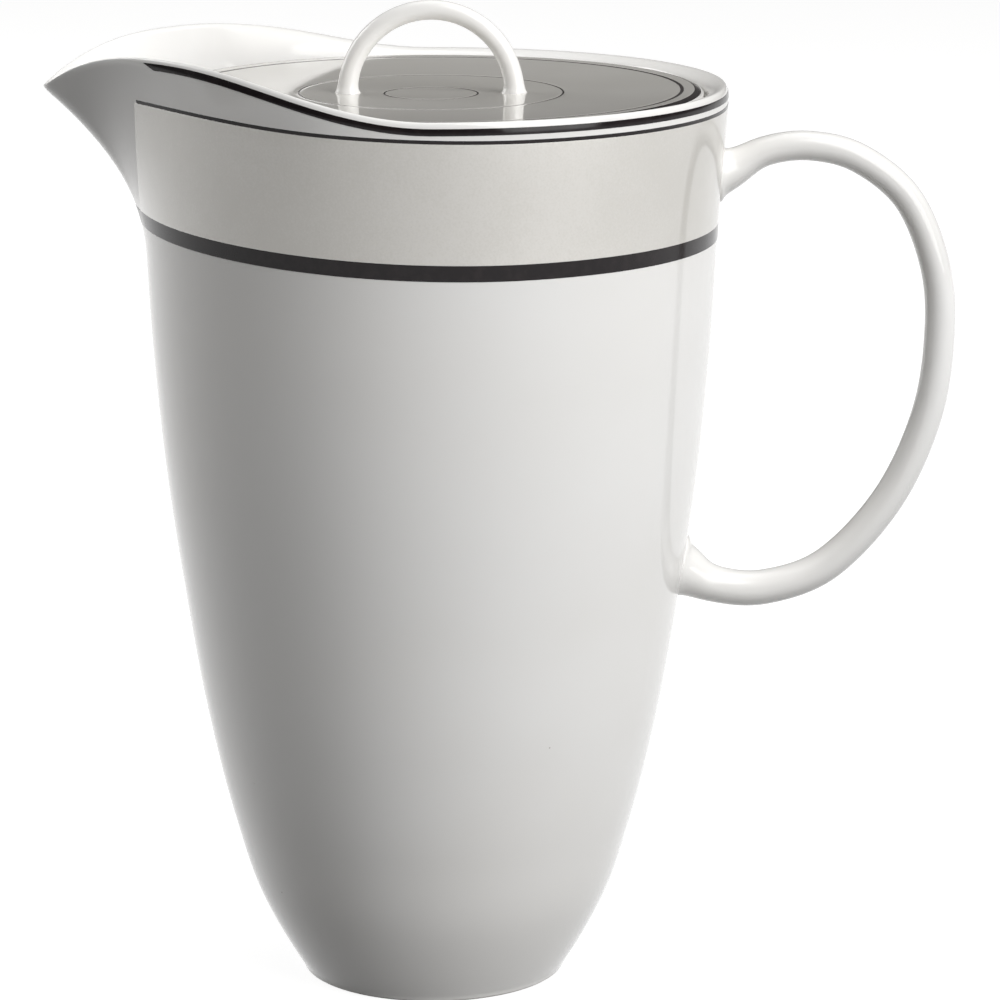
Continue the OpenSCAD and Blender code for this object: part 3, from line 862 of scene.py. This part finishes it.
def loop_rings():
    base = lid_top(loop_r)
    path = [(Vector((-loop_r, 0, base - loop_sink * (1 - t))), Vector((0, 0, 1))) for t in steps(3)[:-1]]
    for t in steps(96):
        b = math.pi * (1 - t)
        path.append((Vector((loop_r * math.cos(b), 0, base + loop_r * math.sin(b))),
                     Vector((math.sin(b), 0, -math.cos(b)))))
    path += [(Vector((loop_r, 0, base - loop_sink * t)), Vector((0, 0, -1))) for t in steps(3)[1:]]
    rings = []
    for mid, along in path:
        spread = loop_rod_r + loop_flare * math.exp(-max(0, mid.z - base) / (loop_foot_h * loop_fade_share))
        up = Vector((-along.z, 0, along.x))
        rings.append([tuple((mid + up * spread * math.cos(b) + Vector((0, spread * math.sin(b), 0))) * mm)
                      for b in (2 * math.pi * i / loop_sides for i in range(loop_sides))])
    return rings


rings = loop_rings()
points, faces = capped_rings(rings, (-loop_r * mm, 0, (lid_top(loop_r) - loop_sink) * mm),
                             (loop_r * mm, 0, (lid_top(loop_r) - loop_sink) * mm))
make_piece("lid_loop", points, faces, "lid", china_material("loop_china", False))

# Lid decoration: rings of the same enamel round the edge of the lid, two hairlines
# further in, and pearl lustre on the dish between them.
lid_ring_w = 1.95
hairline_r = 24
inner_hairline_r = 8.5
hairline_w = 0.35
lid_pin_r = lid_band_r - lid_ring_w


def lid_disc(radius, count):
    """The round patch of transfer in the middle of the lid."""
    radii = [radius * v for v in edge_shares(radius, count)[3:]]
    rings = [[place(a, side, r, lid_top(r) - transfer_sink) for a, side in lid_columns] for r in radii]
    rings += [[place(a, side, r, lid_top(r) + edge_lift(radius - r)) for a, side in lid_columns]
              for r in reversed(radii)]
    return capped_rings(rings, (0, 0, (lid_mid_h - transfer_sink) * mm),
                        (0, 0, (lid_mid_h + transfer_lift) * mm))


def lid_ring(low, high, count, skip=()):
    """A ring of transfer on the lid between two radii, without the cells under the loop's feet."""
    rows = []
    for v in reversed(edge_shares(high - low, count)):
        r = mix(low, high, v)
        lift = edge_lift(min(v, 1 - v) * (high - low))
        rows.append([(Vector(place(a, side, r, lid_top(r) + lift)),
                      Vector(place(a, side, r, lid_top(r) - transfer_sink))) for a, side in lid_columns])

    def keep(k, j):
        middle = (rows[k][j][0] + rows[k + 1][j][0]) / 2
        return all((middle - Vector((x, 0, middle.z / mm)) * mm).length > loop_rod_r * mm for x in skip)

    return shell(rows, keep, True)


def joined(parts):
    points, faces = [], []
    for more_points, more_faces in parts:
        faces += [tuple(i + len(points) for i in face) for face in more_faces]
        points += more_points
    return points, faces


points, faces = lid_ring(lid_band_r, dish_r, 4)
make_piece("lid_band", points, faces, "lid", black_enamel)
points, faces = lid_ring(lid_pin_r - pin_w, lid_pin_r, 3)
make_piece("lid_pinstripe", points, faces, "lid", black_enamel)
half_line = hairline_w / 2
points, faces = joined([lid_ring(r - half_line, r + half_line, 3) for r in (inner_hairline_r, hairline_r)])
make_piece("lid_hairlines", points, faces, "lid", black_enamel)
points, faces = joined([lid_disc(inner_hairline_r - half_line, 12),
                        lid_ring(inner_hairline_r + half_line, hairline_r - half_line, 24, (-loop_r, loop_r)),
                        lid_ring(hairline_r + half_line, lid_pin_r - pin_w, 24),
                        lid_ring(lid_pin_r, lid_band_r, 5)])
make_piece("lid_pearl", points, faces, "lid", pearl_lustre)

# Studio: a pale floor that reads as white paper to the eye and keeps the jug's
# shadow, a tall soft lamp to the right of the camera, weaker ones behind the left
# shoulder and overhead, and a dim grey room.
floor_size = 12
# Floor as lamplight bounces off it, and as the eye and reflections see it
floor_paper = (0.12, 0.12, 0.12)
floor_seen = (0.30, 0.30, 0.30)
floor_glow = 0.86
floor_roughness = 0.9
lamp_target_h = 0.09
room_colour = (1.0, 0.97, 0.93)
room_strength = 0.12

floor_mesh = bpy.data.meshes.new("floor")
half = floor_size / 2
corners = [(-half, -half, 0), (half, -half, 0), (half, half, 0), (-half, half, 0)]
floor_mesh.from_pydata(corners, [], [(0, 1, 2, 3)])
floor = bpy.data.objects.new("floor", floor_mesh)
bpy.context.scene.collection.objects.link(floor)


def floor_material():
    material = bpy.data.materials.new("floor_paper")
    material.use_nodes = True
    tree = material.node_tree
    out = tree.nodes["Material Output"]
    paper = tree.nodes["Principled BSDF"]
    paper.inputs["Base Color"].default_value = (*floor_paper, 1)
    paper.inputs["Roughness"].default_value = floor_roughness
    paper.inputs["Specular IOR Level"].default_value = 0
    seen = tree.nodes.new("ShaderNodeBsdfDiffuse")
    seen.inputs["Color"].default_value = (*floor_seen, 1)
    glow = tree.nodes.new("ShaderNodeEmission")
    glow.inputs["Strength"].default_value = floor_glow
    both = tree.nodes.new("ShaderNodeAddShader")
    tree.links.new(seen.outputs[0], both.inputs[0])
    tree.links.new(glow.outputs[0], both.inputs[1])
    path = tree.nodes.new("ShaderNodeLightPath")
    shown = maths(tree, "MAXIMUM", path.outputs["Is Camera Ray"], path.outputs["Is Glossy Ray"])
    shown = maths(tree, "MAXIMUM", shown, path.outputs["Is Transmission Ray"])
    choice = tree.nodes.new("ShaderNodeMixShader")
    tree.links.new(shown, choice.inputs[0])
    tree.links.new(paper.outputs[0], choice.inputs[1])
    tree.links.new(both.outputs[0], choice.inputs[2])
    tree.links.new(choice.outputs[0], out.inputs["Surface"])
    return material


floor_mesh.materials.append(floor_material())


def soft_lamp(name, azimuth, elevation, distance, size, power):
    """An oblong area lamp that faces the jug's middle; azimuth 0 is the camera's side, 90 the handle's."""
    lamp = bpy.data.lights.new(name, "AREA")
    lamp.shape = "RECTANGLE"
    lamp.size, lamp.size_y = size
    lamp.energy = power
    target = Vector((0, 0, lamp_target_h))
    a, e = math.radians(azimuth), math.radians(elevation)
    back = Vector((math.sin(a) * math.cos(e), -math.cos(a) * math.cos(e), math.sin(e)))
    holder = bpy.data.objects.new(name, lamp)
    holder.location = target + back * distance
    holder.rotation_euler = (-back).to_track_quat("-Z", "Y").to_euler()
    bpy.context.scene.collection.objects.link(holder)


soft_lamp("key", azimuth=46, elevation=34, distance=1.6, size=(1.2, 2.1), power=35)
soft_lamp("left_rim", azimuth=-118, elevation=25, distance=1.5, size=(0.8, 1.0), power=12)
soft_lamp("overhead", azimuth=150, elevation=75, distance=1.4, size=(1.0, 1.0), power=5.5)

world = bpy.data.worlds.new("room")
world.use_nodes = True
world.node_tree.nodes["Background"].inputs["Color"].default_value = (*room_colour, 1)
world.node_tree.nodes["Background"].inputs["Strength"].default_value = room_strength
bpy.context.scene.world = world
bpy.context.scene.view_settings.view_transform = "Standard"
